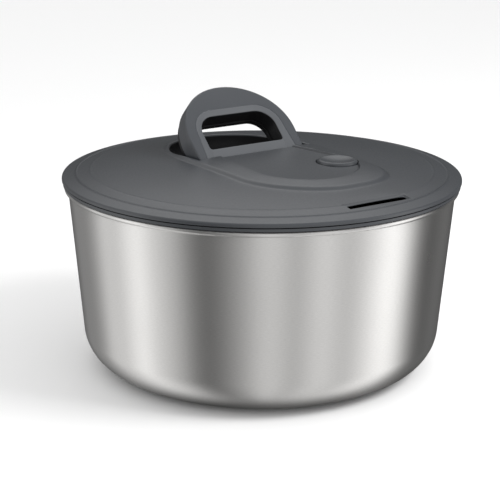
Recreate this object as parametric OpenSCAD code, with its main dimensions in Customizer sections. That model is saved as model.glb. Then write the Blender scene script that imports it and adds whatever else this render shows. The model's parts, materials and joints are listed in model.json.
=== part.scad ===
// Lever-driven salad spinner: steel bowl, slotted basket, and a lid that holds the gear drive.
// Pressing the wing lever pushes a rack, the rack turns a clutch gear, and the gear spins the basket.
// Origin: centre of the base on the table. +X: from the lever towards the button and the pour slot.
// +Y: along the lever's hinge axle. +Z: up. The lever is drawn raised, as it rests.

/* [Bowl] */
// Outer radius that the wall's straight line has at table height
bowl_foot_r = 118.2; // [110:0.1:120]
// Growth of the wall's radius for each millimetre of height
bowl_flare = 0.0851; // [0.06:0.001:0.095]
// Height of the bowl's rim
bowl_h = 124.8; // [124:0.1:125]
// Radius of the rounded bottom corner
bowl_corner_r = 27.2; // [20:0.1:32]
// Thickness of the steel
bowl_wall = 1.0; // [0.8:0.1:1.2]
// Radius of the rolled bead at the rim
rim_bead_r = 1.7; // [1.5:0.05:1.8]
// Outer radius of the non-slip ring under the bowl
base_ring_r = 88; // [80:1:90]

/* [Basket] */
// Outer radius of the basket at its floor
basket_floor_r = 98; // [92:1:100]
// Outer radius of the basket just under its rim
basket_top_r = 113; // [110:1:114]
// Height of the underside of the basket's floor
basket_z = 11; // [10:0.5:13]
// Height of the top of the basket's rim
basket_rim_z = 107; // [106.5:0.1:107.2]
// Thickness of the basket's wall and floor
basket_wall = 2; // [1.6:0.1:2.4]
// Number of slot columns round the wall
wall_slots = 40; // [24:4:44]
// Number of lugs between the drive disc and the basket's rim
drive_lugs = 12; // [6:1:16]

/* [Lid] */
// Outer radius of the lid
lid_r = 132.5; // [131:0.5:134]
// Height of the top of the dome above the table
dome_z = 140; // [139.5:0.1:140.5]
// Drop of the dome from its top to the crease
dome_drop = 6.1; // [5:0.1:7]
// Radius of the crease where the dome turns down to the edge
crease_r = 113; // [110:1:115]
// Thickness of the lid's shell
lid_wall = 2.1; // [1.8:0.1:2.4]
// Height of the raised plateau above the dome
plateau_rise = 2.6; // [1.8:0.1:3]
// Half width of the plateau
plateau_half_w = 51.5; // [51:0.5:53]
// Distance of the plateau's, the panel's and the lever's middle line from the lid's centre line
middle_y = 2.5; // [2:0.5:3]
// Height of the sunken panel above the dome
panel_rise = 1.5; // [1:0.1:1.7]
// Length of the pour slot
slot_len = 46; // [30:1:50]
// Width of the pour slot
slot_w = 4; // [2:0.2:4]
// Distance of the pour slot from the lid's centre
slot_x = 113.8; // [111:0.2:114]

/* [Lever] */
// Distance of the hinge axle behind the lid's centre
axle_back = 16.5; // [16.5:0.1:16.6]
// Height of the hinge axle
axle_z = 136; // [136:0.1:136.1]
// Radius of the hinge axle
axle_r = 1.5; // [1.5:0.1:1.6]
// Angle that the lever stands up at rest
lever_up = 45; // [45:1:46]
// Length from the axle to the tip
lever_len = 57.5; // [52:0.5:58]
// Half width of the lever
lever_half_w = 43; // [40:0.5:43]
// Half width of the finger hole
hole_half_w = 30; // [26:0.5:30]
// Thickness of the lever at the finger hole
lever_thick = 16.2; // [14:0.1:16.2]

/* [Gears] */
// Module of every gear
gear_m = 1; // [1:1:1]
// Pressure angle of the teeth
pressure = 25; // [20:1:25]
// Play between meshing teeth, measured along the pitch line
backlash = 0.3; // [0.25:0.05:0.4]
// Teeth of the lever's sector, counted on the full circle
sector_teeth = 30; // [30:1:30]
// Teeth of the pinion that the rack turns
rack_pinion_teeth = 10; // [10:1:10]
// Teeth of the clutch gear
clutch_teeth = 60; // [60:1:60]
// Teeth of the spindle
spindle_teeth = 12; // [12:1:12]

/* [Brake] */
// Radius of the brake button
button_r = 13.5; // [12:0.5:14]
// Travel of the brake button
button_travel = 3; // [2:0.5:3]

/* [Hidden] */
$fn = 96;
eps = 0.01;
lid_edge_z = 130.2;
shoulder_r = 122.5;
shoulder_z = 132.2;
pan_floor_z = 108.2;
pan_wall_r = 121.5;
flange_z = 125.3;
flange_r = 131.8;
// height and depth of the groove between the lid's edge and the pan's flange
flange_groove = [127.1, 1.8];
axle_x = -axle_back;
hub_r = 5.5;
recess_floor_z = 124.2;
recess_half_w = lever_half_w + 1.7;
leg_half_w = lever_half_w - 1;
slot_y = middle_y + 1.9;
recess_back = 49;
wing_x = -33;
clutch_dist = gear_m * (clutch_teeth + spindle_teeth) / 2;
clutch_x = clutch_dist * cos(30);
clutch_y = clutch_dist * sin(30);
sector_r = gear_m * sector_teeth / 2;
rack_pinion_r = gear_m * rack_pinion_teeth / 2;
rack_top_z = axle_z - sector_r;
rack_side_y = clutch_y - rack_pinion_r;
rack_bottom_z = 114.4;
sector_y = [7.5, 11.5];
tooth_up = 0.8 * gear_m;
tooth_down = 1.1 * gear_m;
clutch_z = [122.6, 129];
clutch_web_z = 127.6;
pin_r = 2;
run_fit = 0.05;
button_x = 39.5;
button_y = 32.5;
button_top_z = 142.2;
dish_r = 43;
stem_r = 3.95;
cup_floor_z = [133.2, 134.6];
disc_r = 112;
disc_z = [103.2, 105.4];
lid_screw_ring = 96;
grey = [0.38, 0.40, 0.42];
dark = [0.10, 0.10, 0.11];
steel = [0.72, 0.72, 0.71];

// ---- Shared shapes -------------------------------------------------------------------------

// A flat outline in X and Z, made solid from y0 to y1
module along_y(y0, y1) {
    translate([0, y1, 0]) rotate([90, 0, 0]) linear_extrude(y1 - y0) children();
}

module tube(r_in, r_out, z0, z1) {
    translate([0, 0, z0]) difference() {
        cylinder(r = r_out, h = z1 - z0);
        translate([0, 0, -1]) cylinder(r = r_in, h = z1 - z0 + 2);
    }
}

module rod(r, z0, z1) {
    translate([0, 0, z0]) cylinder(r = r, h = z1 - z0);
}

// A helical spring stood for by a stack of closed rings between z0 and z1
module ring_stack(r, wire_r, z0, z1, count) {
    for (i = [0 : count - 1])
        translate([0, 0, z0 + wire_r + (z1 - z0 - 2 * wire_r) * i / (count - 1)])
            rotate_extrude() translate([r, 0]) circle(r = wire_r, $fn = 16);
}

module at_clutch() {
    translate([clutch_x, clutch_y, 0]) children();
}

module at_button() {
    translate([button_x, button_y, 0]) children();
}

// ---- Gear teeth ----------------------------------------------------------------------------

function involute(a) = tan(a) * 180 / PI - a;

// Half the angle that a tooth takes at radius r, on a gear with n teeth
function tooth_half(r, n) =
    let (pitch_r = gear_m * n / 2, base_r = pitch_r * cos(pressure), q = max(r, base_r))
    (PI * gear_m - backlash) / 4 / pitch_r * 180 / PI
        + involute(pressure) - involute(acos(base_r / q));

function polar(r, a) = [r * cos(a), r * sin(a)];

// Outline of one tooth centred on angle a, from root to tip and back
function tooth_points(n, a) =
    let (pitch_r = gear_m * n / 2, root = pitch_r - tooth_down, tip = pitch_r + tooth_up,
        radii = [for (share = [0, 0.35, 0.6, 0.8, 1]) root + share * (tip - root)])
    concat([for (r = radii) polar(r, a - tooth_half(r, n))],
        [for (i = [len(radii) - 1 : -1 : 0]) polar(radii[i], a + tooth_half(radii[i], n))]);

function gear_points(n, first, count) =
    [for (i = [0 : count - 1]) each tooth_points(n, first + i * 360 / n)];

module gear(n, first, z0, z1) {
    translate([0, 0, z0]) linear_extrude(z1 - z0) polygon(gear_points(n, first, n));
}

// Straight rack teeth on the line y = 0, pointing to +y, the first of them centred on x = first.
// The strip that joins them reaches 0.3 mm below their roots.
function rack_points(first, count) =
    let (half = (PI * gear_m - backlash) / 4, t = tan(pressure), foot = half + tooth_down * t)
    concat([[first - foot, -tooth_down - 0.3]],
        [for (i = [0 : count - 1]) let (c = first + i * PI * gear_m)
            each [[c - foot, -tooth_down], [c - half + tooth_up * t, tooth_up],
                [c + half - tooth_up * t, tooth_up], [c + foot, -tooth_down]]],
        [[first + (count - 1) * PI * gear_m + foot, -tooth_down - 0.3]]);

// ---- Bowl ----------------------------------------------------------------------------------

function bowl_r(z) = bowl_foot_r + bowl_flare * z;

// Outline of the bowl's skin, moved inwards by d
function bowl_skin(d) =
    let (tilt = atan(bowl_flare), c = bowl_corner_r, cz = 0.8 + c,
        cr = bowl_r(cz) - c / cos(tilt), n = 10, r = c - d)
    concat([[base_ring_r + 3 - d, 0.8 + d]],
        [for (i = [0 : n]) let (a = -90 + (90 - tilt) * i / n) [cr + r * cos(a), cz + r * sin(a)]],
        [[bowl_r(bowl_h - 1.2) - d / cos(tilt), bowl_h - 1.2]]);

module bowl() {
    outer = bowl_skin(0);
    inner = bowl_skin(bowl_wall);
    color(steel) {
        rotate_extrude($fn = 180) polygon(concat(
            [[0, 2.6], [base_ring_r + 1, 2.6]], outer,
            [for (i = [len(inner) - 1 : -1 : 0]) inner[i]],
            [[base_ring_r, 2.6 + bowl_wall], [0, 2.6 + bowl_wall]]));
        rotate_extrude($fn = 180) translate([bowl_r(bowl_h) + 0.5, bowl_h - rim_bead_r])
            circle(r = rim_bead_r, $fn = 24);
    }
}

module base_ring() {
    color(dark) tube(base_ring_r - 12, base_ring_r, 0, 2.6);
}

// ---- Basket and the foot that it spins on --------------------------------------------------

basket_seat_z = 2.6 + bowl_wall;

module foot_pad() {
    color(dark) tube(9, 17, basket_seat_z, basket_seat_z + 1.4);
}

module pivot_foot() {
    color("gainsboro") difference() {
        union() {
            rod(18, basket_seat_z + 1.4, basket_seat_z + 3.6);
            rod(7, basket_seat_z + 3.6, basket_z - 0.6);
        }
        rod(pin_r + 0.5, 0, basket_seat_z + 5.4);
        rod(pin_r + run_fit, 0, basket_z);
    }
}

module pivot_pin() {
    color(steel) {
        rod(pin_r + 0.4, basket_seat_z + 3.2, basket_seat_z + 5.3);
        rod(pin_r, basket_seat_z + 5.2, basket_z + 12);
    }
}

module foot_clip() {
    color(steel) tube(pin_r, pin_r + 2.2, basket_z + 10.4, basket_z + 11.2);
}

module wall_slot(z0, z1) {
    translate([basket_floor_r - 12, -1.5, z0]) cube([40, 3, z1 - z0]);
}

module basket() {
    color([0.85, 0.87, 0.88]) difference() {
        union() {
            rotate_extrude($fn = 120) polygon([
                [0, basket_z], [basket_floor_r - 6, basket_z], [basket_floor_r - 1.6, basket_z + 1.6],
                [basket_floor_r, basket_z + 6], [basket_top_r, basket_rim_z - 7],
                [basket_top_r + 4.4, basket_rim_z - 7], [basket_top_r + 4.4, basket_rim_z],
                [basket_top_r - 0.4, basket_rim_z], [basket_top_r - 0.4, basket_rim_z - 4.6],
                [basket_top_r - basket_wall, basket_rim_z - 6],
                [basket_floor_r - basket_wall, basket_z + 7],
                [basket_floor_r - 7, basket_z + basket_wall], [0, basket_z + basket_wall]]);
            rod(8, basket_z, basket_z + 9.6);
        }
        rod(pin_r + run_fit, 0, 60);
        for (i = [0 : wall_slots - 1]) rotate([0, 0, 360 * (i + 0.5) / wall_slots]) {
            wall_slot(basket_z + 11, basket_z + 46);
            wall_slot(basket_z + 50, basket_rim_z - 11);
        }
        for (i = [0 : 23]) rotate([0, 0, 15 * i])
            translate([i % 2 == 0 ? 22 : 50, -1.5, basket_z - 1]) cube([i % 2 == 0 ? 64 : 36, 3, 5]);
        for (i = [0 : drive_lugs - 1]) rotate([0, 0, 360 * i / drive_lugs])
            translate([basket_top_r - 3, -4.5, disc_z[0] - 0.8]) cube([6, 9, 10]);
    }
}

// ---- Lid -----------------------------------------------------------------------------------

function dome(r) = dome_z - dome_drop * pow(r / crease_r, 2.5);

// Profile of the lid's top, raised by d, from the centre to the edge
function dome_line(d) = concat([for (i = [0 : 10]) let (r = crease_r * i / 10) [r, dome(r) + d]],
    [[shoulder_r, shoulder_z + d], [lid_r - 0.7, lid_edge_z + 0.15 + d], [lid_r, lid_edge_z - 0.5 + d]]);

// Everything between the dome raised by low and the dome raised by high
module dome_layer(low, high) {
    under = dome_line(low);
    rotate_extrude($fn = 180)
        polygon(concat(dome_line(high), [for (i = [len(under) - 1 : -1 : 0]) under[i]]));
}

// A quarter-by-quarter superellipse arc: x reach a, y reach b, squareness n
function soft_arc(a, b, n, from, to, steps) =
    [for (i = [0 : steps]) let (t = from + (to - from) * i / steps, c = cos(t), s = sin(t))
        [sign(c) * a * pow(abs(c), 2 / n), sign(s) * b * pow(abs(s), 2 / n)]];

// Points moved along X by d, and onto the middle line of the lid's features
function placed(points, d) = [for (p = points) [p[0] + d, p[1] + middle_y]];

// Outline of the plateau: round at the button end, a softer oval round the lever
module plateau_outline() {
    polygon(concat(
        placed(soft_arc(50, plateau_half_w, 1.8, -90, 0, 14), 41),
        placed(soft_arc(50, plateau_half_w, 2.9, 0, 90, 14), 41),
        placed(soft_arc(91, plateau_half_w, 2.3, 90, 270, 36), 0)));
}

module panel_outline() {
    polygon(concat(
        placed(soft_arc(35.5, 34, 2, -90, 0, 14), 38),
        placed(soft_arc(35.5, 41, 2, 0, 90, 14), 38),
        placed([[hub_r - 1, 30], [hub_r - 1, -28.5]], axle_x)));
}

// Outline of the lever's recess, grown by g
module recess_outline(g) {
    polygon(concat(
        placed(soft_arc(recess_back + g, recess_half_w + g, 2, 90, 270, 32), wing_x),
        placed([for (s = [-1, 1]) [hub_r + 0.5 + g, s * (recess_half_w + g)]], axle_x)));
}

module pour_slot(z0, z1) {
    translate([slot_x, slot_y, z0]) linear_extrude(z1 - z0) union() {
        square([slot_w, slot_len - slot_w], center = true);
        for (s = [-1, 1]) translate([0, s * (slot_len - slot_w) / 2]) circle(d = slot_w, $fn = 24);
    }
}

module axle_path(r, reach) {
    along_y(middle_y - reach, middle_y + reach) translate([axle_x, axle_z]) circle(r = r, $fn = 32);
}

module lid_posts(r, z0, z1) {
    for (i = [0 : 5]) rotate([0, 0, 30 + 60 * i]) translate([lid_screw_ring, 0, 0]) rod(r, z0, z1);
}

module lid_shell() {
    color(grey) difference() {
        union() {
            dome_layer(-lid_wall, 0);
            intersection() {
                dome_layer(-lid_wall, plateau_rise);
                linear_extrude(200) plateau_outline();
            }
            // walls and floor of the lever's recess
            intersection() {
                translate([0, 0, recess_floor_z - 1.2]) linear_extrude(16) recess_outline(1.6);
                dome_layer(-30, 0);
            }
            // cup under the brake button
            at_button() rod(button_r + 2.4, cup_floor_z[0], 139);
            lid_posts(3.6, pan_floor_z + 1.6, 134);
        }
        translate([0, 0, recess_floor_z]) linear_extrude(40) recess_outline(0);
        intersection() {
            dome_layer(panel_rise, plateau_rise + 2);
            linear_extrude(200) panel_outline();
        }
        at_button() {
            rod(button_r + 0.8, cup_floor_z[1], 160);
            rod(stem_r + 0.3, 120, 160);
        }
        pour_slot(100, 150);
        axle_path(axle_r + 0.02, recess_half_w + 1);
        // way through for the sector gear
        translate([axle_x - 17, sector_y[0] - 0.6, 100]) cube([32, 5.2, 33]);
        lid_posts(1.2, 100, 122);
    }
}

module lid_pan() {
    color(grey) difference() {
        union() {
            rotate_extrude($fn = 180) polygon([
                [0, pan_floor_z], [pan_wall_r - 2, pan_floor_z], [pan_wall_r, pan_floor_z + 2],
                [pan_wall_r, 111.6], [pan_wall_r + 1.6, 111.6], [pan_wall_r + 1.6, 113], [pan_wall_r, 113],
                [pan_wall_r, flange_z], [flange_r, flange_z], [flange_r, flange_groove[0]],
                [flange_r - flange_groove[1], flange_groove[0]],
                [flange_r - flange_groove[1], lid_edge_z - 2.1],
                [pan_wall_r - 1.8, lid_edge_z - 2.1], [pan_wall_r - 1.8, pan_floor_z + 2.4],
                [pan_wall_r - 2.6, pan_floor_z + 1.6], [0, pan_floor_z + 1.6]]);
            // rails under the rack, and the posts of the spindle and the clutch gear
            translate([-46, sector_y[0], pan_floor_z]) cube([70, 4, rack_bottom_z - 0.3 - pan_floor_z]);
            rod(6.4, pan_floor_z, 116);
            at_clutch() rod(4, pan_floor_z, rack_bottom_z - 0.2);
        }
        rod(5, 0, 130);
        at_clutch() rod(pin_r, pan_floor_z - 1, 130);
        pour_slot(100, 118);
        lid_posts(1.6, 100, 122);
    }
}

module lid_gasket() {
    color(dark) rotate_extrude($fn = 180) polygon([
        [pan_wall_r, 113], [pan_wall_r + 1.6, 113], [bowl_r(114) - bowl_wall - 0.6, 114.6],
        [bowl_r(114) - bowl_wall - 0.6, 115.8], [pan_wall_r + 1.6, 117.6], [pan_wall_r, 117.6]]);
}

module lid_screws() {
    color(steel) {
        lid_posts(1.15, pan_floor_z - 0.5, 120);
        lid_posts(2.9, pan_floor_z - 1.5, pan_floor_z);
    }
}

// ---- Lever ---------------------------------------------------------------------------------

// The lever's own pieces are drawn lying flat and then raised about the axle
module raised() {
    translate([axle_x, 0, axle_z]) rotate([0, lever_up, 0]) translate([-axle_x, 0, -axle_z]) children();
}

module lever_outline(g) {
    polygon(concat(
        placed(soft_arc(wing_x - axle_x + lever_len + g, lever_half_w + g, 2, 90, 270, 36), wing_x),
        placed([for (s = [-1, 1]) [hub_r + 1, s * (leg_half_w + g)]], axle_x)));
}

// The finger hole, grown by g: straight along the hinge, round towards the tip
module hole_outline(g) {
    x0 = axle_x - 8.5;
    x1 = axle_x - 34;
    r = 13;
    translate([0, middle_y]) union() {
        translate([x1 + r, -hole_half_w - g]) square([x0 - x1 - r + g, 2 * (hole_half_w + g)]);
        translate([x1 - g, -hole_half_w + r]) square([r + g + eps, 2 * (hole_half_w - r)]);
        for (s = [-1, 1]) translate([x1 + r, s * (hole_half_w - r)]) circle(r = r + g, $fn = 48);
    }
}

// Side view of the whole lever; the bottom follows the recess's floor and thins to the tip
module lever_profile() {
    tip = -lever_len - 1;
    thick = -lever_thick;
    translate([axle_x, axle_z]) circle(r = hub_r, $fn = 48);
    translate([axle_x, axle_z + hub_r]) polygon([[0, 0], [-28, -0.1], [-44, -1.1], [tip, -2.8],
        [tip, -4.2], [-49, -9.5], [-41, -14], [-34, thick], [-8.5, thick], [-5.4, -11], [0, -2 * hub_r]]);
}

// The lever's solid, grown sideways by g, with the finger hole grown by hole_g
module lever_block(g, hole_g) {
    intersection() {
        along_y(-60, 60) lever_profile();
        translate([0, 0, 100]) linear_extrude(60) difference() {
            lever_outline(g);
            hole_outline(hole_g);
        }
    }
}

seam_z = axle_z - 6.8;
lever_screw_spots = [[-44, middle_y + 34], [-44, middle_y - 34]];

module screw_bosses() {
    for (p = lever_screw_spots) translate(p) circle(r = 3, $fn = 32);
}

module lever_cover() {
    top = axle_z + hub_r;
    color(grey) raised() difference() {
        intersection() {
            lever_block(0, 0);
            translate([-100, -60, seam_z]) cube([120, 120, 40]);
        }
        // hollow wing
        translate([0, 0, seam_z - 1]) linear_extrude(top - 6 - seam_z) difference() {
            lever_outline(-2.4);
            hole_outline(2.4);
            translate([axle_x - 8.5, -60]) square([60, 120]);
            screw_bosses();
        }
        // shallow frame round the finger hole
        translate([0, 0, top - 1.2]) linear_extrude(5) difference() {
            hole_outline(4.6);
            translate([axle_x - 8.5, -60]) square([60, 120]);
        }
        axle_path(axle_r + run_fit, 60);
        lever_slot(sector_y[0], sector_y[1]);
        lever_slot(-14.5, -6.5);
        for (p = lever_screw_spots) translate(p) rod(1, seam_z - 1, seam_z + 5);
    }
}

// Room round the axle for a piece that sits on it, open downwards
module lever_slot(y0, y1) {
    along_y(y0, y1) {
        translate([axle_x, axle_z]) circle(r = 4.2, $fn = 32);
        translate([axle_x - 5, axle_z - 12]) square([12, 12]);
    }
}

module lever_underside() {
    color(dark) raised() difference() {
        intersection() {
            lever_block(-0.5, -1);
            translate([-100, -60, seam_z - 20]) cube([100 + axle_x - 7, 120, 20]);
        }
        translate([0, 0, seam_z - 2.4]) linear_extrude(10) difference() {
            lever_outline(-3.4);
            hole_outline(3.2);
            translate([axle_x - 12, -60]) square([60, 120]);
            screw_bosses();
        }
        // the edge along the hinge stays as wide as the hole above it
        translate([axle_x - 12, middle_y - hole_half_w, 100]) cube([3.5, 2 * hole_half_w, 60]);
        for (p = lever_screw_spots) translate(p) {
            rod(1.2, seam_z - 8, seam_z + 1);
            rod(2.5, seam_z - 8, seam_z - 2.9);
        }
    }
}

module lever_screws() {
    color(steel) raised() for (p = lever_screw_spots) translate(p) {
        rod(1.1, seam_z - 3, seam_z + 4.6);
        rod(2.2, seam_z - 3.7, seam_z - 2.95);
    }
}

module lever_axle() {
    color(steel) axle_path(axle_r, recess_half_w + 1);
}

module lever_spring() {
    color(steel) {
        translate([axle_x, -14.2, axle_z]) rotate([-90, 0, 0]) ring_stack(2.6, 0.5, 0, 7.4, 7);
        translate([axle_x + 2.6, -7.4, 0]) rod(0.5, recess_floor_z, axle_z);
    }
}

module sector_gear() {
    teeth = gear_points(sector_teeth, 198, 7);
    color("ivory") along_y(sector_y[0], sector_y[1]) translate([axle_x, axle_z]) difference() {
        union() {
            polygon(concat([[0, 0]], teeth));
            circle(r = 4.1, $fn = 48);
        }
        circle(r = axle_r + run_fit, $fn = 48);
    }
}

// ---- Drive ---------------------------------------------------------------------------------

module drive_rack() {
    pitch = PI * gear_m;
    root_z = rack_top_z - tooth_down;
    root_y = rack_side_y - tooth_down;
    rack_y = sector_y[0] - 0.3;
    color("ivory") {
        translate([-38, rack_y, rack_bottom_z]) cube([78, root_y - rack_y, root_z - rack_bottom_z]);
        along_y(rack_y, root_y) translate([axle_x, rack_top_z])
            polygon(rack_points(-5.5 * pitch, 8));
        translate([clutch_x, rack_side_y, rack_bottom_z]) linear_extrude(root_z - rack_bottom_z)
            polygon(rack_points(-5.5 * pitch, 8));
    }
}

module rack_pinion() {
    color("ivory") at_clutch() difference() {
        union() {
            gear(rack_pinion_teeth, -90, rack_bottom_z, 119.6);
            rod(3.8, 119.5, 123);
            translate([0, 0, 122.9]) linear_extrude(2.7) polygon([for (i = [0 : 11])
                each [polar(9, 30 * i), polar(7.2, 30 * i + 4), polar(7.9, 30 * i + 17)]]);
        }
        rod(pin_r + run_fit, 100, 140);
    }
}

module clutch_gear() {
    color("ivory") at_clutch() difference() {
        gear(clutch_teeth, 213, clutch_z[0] + 1.4, clutch_z[1]);
        rod(13.5, 100, 126);
        rod(pin_r + run_fit, 100, 140);
        tube(7, 27.5, clutch_web_z, 140);
        for (i = [0 : 5]) rotate([0, 0, 60 * i]) translate([24.4, 0, 100]) cylinder(r = 2.2, h = 60);
    }
}

module clutch_pawls() {
    color(steel) at_clutch() for (s = [0, 180]) rotate([0, 0, s]) translate([0, 0, 123.4])
        linear_extrude(2.6) union() {
            translate([11.4, -3]) circle(r = 1.5, $fn = 24);
            polygon([[12.6, -3], [11, 4.4], [9.5, 5.2], [9.9, -3]]);
        }
}

module pawl_springs() {
    color(steel) at_clutch() for (s = [0, 180]) rotate([0, 0, s])
        translate([11.7, 3.2, 124.2]) rotate([0, 0, 8]) cube([1.3, 0.6, 1.2]);
}

module gear_pin() {
    color(steel) at_clutch() rod(pin_r, pan_floor_z, 130.6);
}

module gear_clip() {
    color(steel) at_clutch() tube(pin_r, pin_r + 2, 129.3, 130.1);
}

module spindle() {
    color("ivory") {
        gear(spindle_teeth, 30, 123.8, 129.2);
        rod(3.9, 116.2, 123.9);
        rod(3, disc_z[1], 116.3);
        tube(1.2, 3, 98.6, disc_z[1] + eps);
        rod(2.6, 129, 131);
    }
}

module spindle_bush() {
    color("goldenrod") tube(3 + run_fit, 5, pan_floor_z, 116);
}

module drive_disc() {
    color([0.85, 0.87, 0.88]) difference() {
        union() {
            rod(disc_r, disc_z[0], disc_z[1]);
            tube(104, 106, disc_z[0] - 4, disc_z[0] + eps);
            rod(9, 98.6, 106.6);
            for (i = [0 : drive_lugs - 1]) rotate([0, 0, 360 * i / drive_lugs])
                translate([disc_r - 3, -4, disc_z[0]]) cube([5.4, 8, disc_z[1] - disc_z[0]]);
            for (i = [0 : 5]) rotate([0, 0, 60 * i])
                translate([8, -0.9, disc_z[0] - 3]) cube([97, 1.8, 3.1]);
        }
        rod(3, 90, 110);
    }
}

module disc_screw() {
    color(steel) {
        rod(5, 97.2, 98.6);
        rod(1.15, 98.5, 105);
    }
}

// ---- Brake ---------------------------------------------------------------------------------

module brake_button() {
    color(grey) at_button() difference() {
        union() {
            rod(button_r - 0.6, 138.4, button_top_z);
            rod(button_r, 138.4, button_top_z - 0.6);
            rod(stem_r, cup_floor_z[0] - 0.9, button_top_z - 1.5);
        }
        translate([0, 0, button_top_z - 1.6 + dish_r]) sphere(r = dish_r);
        tube(6, button_r - 1.4, 130, 140.6);
    }
}

module brake_spring() {
    color(steel) at_button() ring_stack(8, 0.5, cup_floor_z[1], 140.6, 4);
}

module brake_pad() {
    color(dark) at_button() rod(4.6, clutch_web_z + button_travel + 0.05, cup_floor_z[0] - 0.9);
}

module button_clip() {
    color(steel) at_button() tube(stem_r, stem_r + 1.8, cup_floor_z[0] - 0.7, cup_floor_z[0] - 0.05);
}

// ---- Output --------------------------------------------------------------------------------

bowl();
base_ring();
pivot_foot();
foot_pad();
pivot_pin();
foot_clip();
basket();
lid_shell();
lid_pan();
lid_gasket();
lid_screws();
lever_cover();
lever_underside();
lever_screws();
lever_axle();
lever_spring();
sector_gear();
drive_rack();
rack_pinion();
clutch_gear();
clutch_pawls();
pawl_springs();
gear_pin();
gear_clip();
spindle();
spindle_bush();
drive_disc();
disc_screw();
brake_button();
brake_spring();
brake_pad();
button_clip();
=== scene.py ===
"""Looks of the lever-driven salad spinner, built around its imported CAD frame.

Lengths inside the builders are millimetres in the frame's own axes; every mesh is scaled to metres once,
when it is made. Places come from the frame's boxes and joints, and shapes from the named values beside
each group of builders.
"""
import json
import math

import bpy
import numpy as np
from mathutils import Matrix, Vector
from mathutils.geometry import delaunay_2d_cdt


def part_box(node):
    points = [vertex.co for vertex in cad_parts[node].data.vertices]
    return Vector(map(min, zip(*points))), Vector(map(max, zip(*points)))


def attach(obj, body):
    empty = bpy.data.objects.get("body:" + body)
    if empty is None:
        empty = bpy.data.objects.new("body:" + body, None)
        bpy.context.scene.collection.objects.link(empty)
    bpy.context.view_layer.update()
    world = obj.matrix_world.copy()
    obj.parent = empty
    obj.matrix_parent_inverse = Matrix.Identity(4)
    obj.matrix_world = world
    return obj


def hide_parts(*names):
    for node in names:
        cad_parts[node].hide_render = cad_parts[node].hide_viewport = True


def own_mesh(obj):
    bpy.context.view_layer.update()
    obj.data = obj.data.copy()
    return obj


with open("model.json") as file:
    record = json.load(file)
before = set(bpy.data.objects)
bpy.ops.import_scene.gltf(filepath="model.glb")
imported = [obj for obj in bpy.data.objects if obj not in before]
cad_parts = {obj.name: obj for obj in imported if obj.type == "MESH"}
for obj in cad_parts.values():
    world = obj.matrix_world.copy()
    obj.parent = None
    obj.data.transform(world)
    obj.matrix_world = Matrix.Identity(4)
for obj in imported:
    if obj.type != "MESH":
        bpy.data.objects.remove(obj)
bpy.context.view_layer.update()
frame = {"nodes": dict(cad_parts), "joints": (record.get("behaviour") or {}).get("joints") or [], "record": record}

MM = 0.001
SLOTS = {s["node"]: s["material_slot"] for s in frame["record"]["subparts"]}
JOINTS = {j["name"]: j for j in frame["joints"]}


# ---- Places taken from the frame -------------------------------------------------------------

def box_mm(node):
    low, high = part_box(node)
    return np.array(low) / MM, np.array(high) / MM


def centre_mm(node):
    low, high = box_mm(node)
    return (low + high) / 2


AXLE = np.array(JOINTS["lever_pivot"]["pos_m"]) / MM
LEVER_UP = math.radians(-JOINTS["lever_pivot"]["range_deg"][0])
LID_R = box_mm("lid_shell")[1][0]
BUTTON = centre_mm("brake_button")
BOWL_TOP = box_mm("bowl")[1][2]
MIDDLE_Y = centre_mm("lever_cover")[1]
HUB_R = 5.5
FINE_TURN = 288


# ---- Mesh helpers ----------------------------------------------------------------------------

def make_object(name, verts, faces, body, smooth_angle=38.0):
    """A mesh object from millimetre vertices, smooth-shaded up to an angle, riding on a body."""
    mesh = bpy.data.meshes.new(name)
    mesh.from_pydata([tuple(v) for v in np.asarray(verts) * MM], [], [tuple(f) for f in faces])
    mesh.validate()
    mesh.update()
    mesh.shade_smooth()
    mesh.set_sharp_from_angle(angle=math.radians(smooth_angle))
    obj = bpy.data.objects.new(name, mesh)
    bpy.context.scene.collection.objects.link(obj)
    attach(obj, body)
    return obj


def revolve(profile, steps=192, centre=(0.0, 0.0), closed=True):
    """Vertices and faces of a profile of (r, z) turned about a vertical axis."""
    profile = np.asarray(profile, float)
    count = len(profile)
    angles = np.linspace(0, 2 * math.pi, steps, endpoint=False)
    ring = np.stack([np.cos(angles), np.sin(angles)], 1)
    verts = np.zeros((steps, count, 3))
    verts[:, :, 0] = centre[0] + ring[:, :1] * profile[:, 0]
    verts[:, :, 1] = centre[1] + ring[:, 1:] * profile[:, 0]
    verts[:, :, 2] = profile[:, 1]
    faces = []
    spans = range(count if closed else count - 1)
    for i in range(steps):
        k = (i + 1) % steps
        for j in spans:
            n = (j + 1) % count
            faces.append((i * count + j, k * count + j, k * count + n, i * count + n))
    return verts.reshape(-1, 3), faces


def merge(parts):
    """Several (vertices, faces) pairs as one."""
    verts, faces, start = [], [], 0
    for v, f in parts:
        verts.append(np.asarray(v, float))
        faces += [tuple(i + start for i in face) for face in f]
        start += len(v)
    return np.vstack(verts), faces


def fillet(centre, r, start, end, steps=6):
    """Points of an arc in a profile, angles in degrees."""
    return [(centre[0] + r * math.cos(a), centre[1] + r * math.sin(a))
            for a in np.radians(np.linspace(start, end, steps + 1))]


# ---- Flat outlines ---------------------------------------------------------------------------

def soft_arc(a, b, n, start, end, steps, shift=0.0):
    """Superellipse arc with reaches a and b, moved along X by shift."""
    t = np.radians(np.linspace(start, end, steps + 1))
    c, s = np.cos(t), np.sin(t)
    x = np.sign(c) * a * np.abs(c) ** (2 / n) + shift
    y = np.sign(s) * b * np.abs(s) ** (2 / n)
    return np.stack([x, y], 1)


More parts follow.
